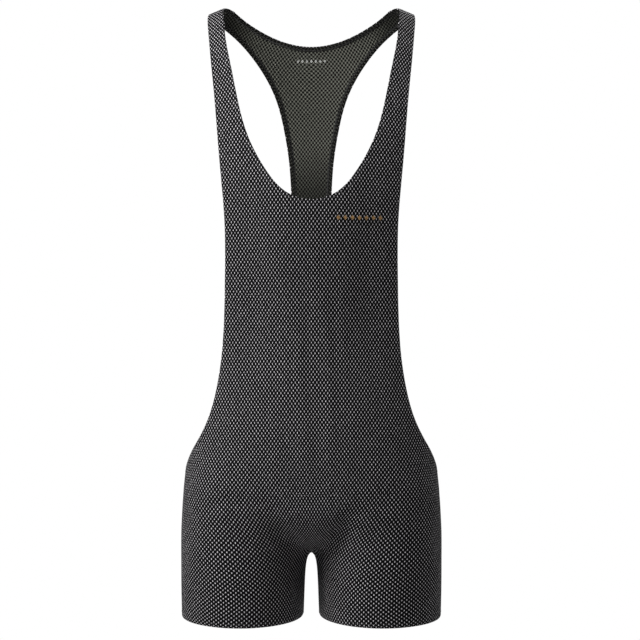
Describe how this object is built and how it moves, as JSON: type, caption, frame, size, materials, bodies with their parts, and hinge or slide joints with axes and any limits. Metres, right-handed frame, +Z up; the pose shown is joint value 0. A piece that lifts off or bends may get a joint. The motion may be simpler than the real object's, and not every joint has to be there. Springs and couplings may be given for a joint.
{
  "type": "wrestling singlet",
  "caption": "One-piece racer-back wrestling singlet, filled out as worn: deep neck, wide low armholes and short legs, knitted cloth.",
  "frame": {"origin": "midway between the two straps, level with the tops of the shoulders that carry them", "axes": "+Z up, -Y to the front, +X to the wearer's left"},
  "size_m": [0.337, 0.2431, 0.7856],
  "materials": {
    "knit": "matte dotted knit, near black",
    "hem": "matte black turned-in hem"
  },
  "bodies": {
    "root": {"front": "knit", "back": "knit", "neck_hem": "hem", "armhole_hem_left": "hem", "armhole_hem_right": "hem", "leg_hem_left": "hem", "leg_hem_right": "hem"}
  },
  "joints": []
}
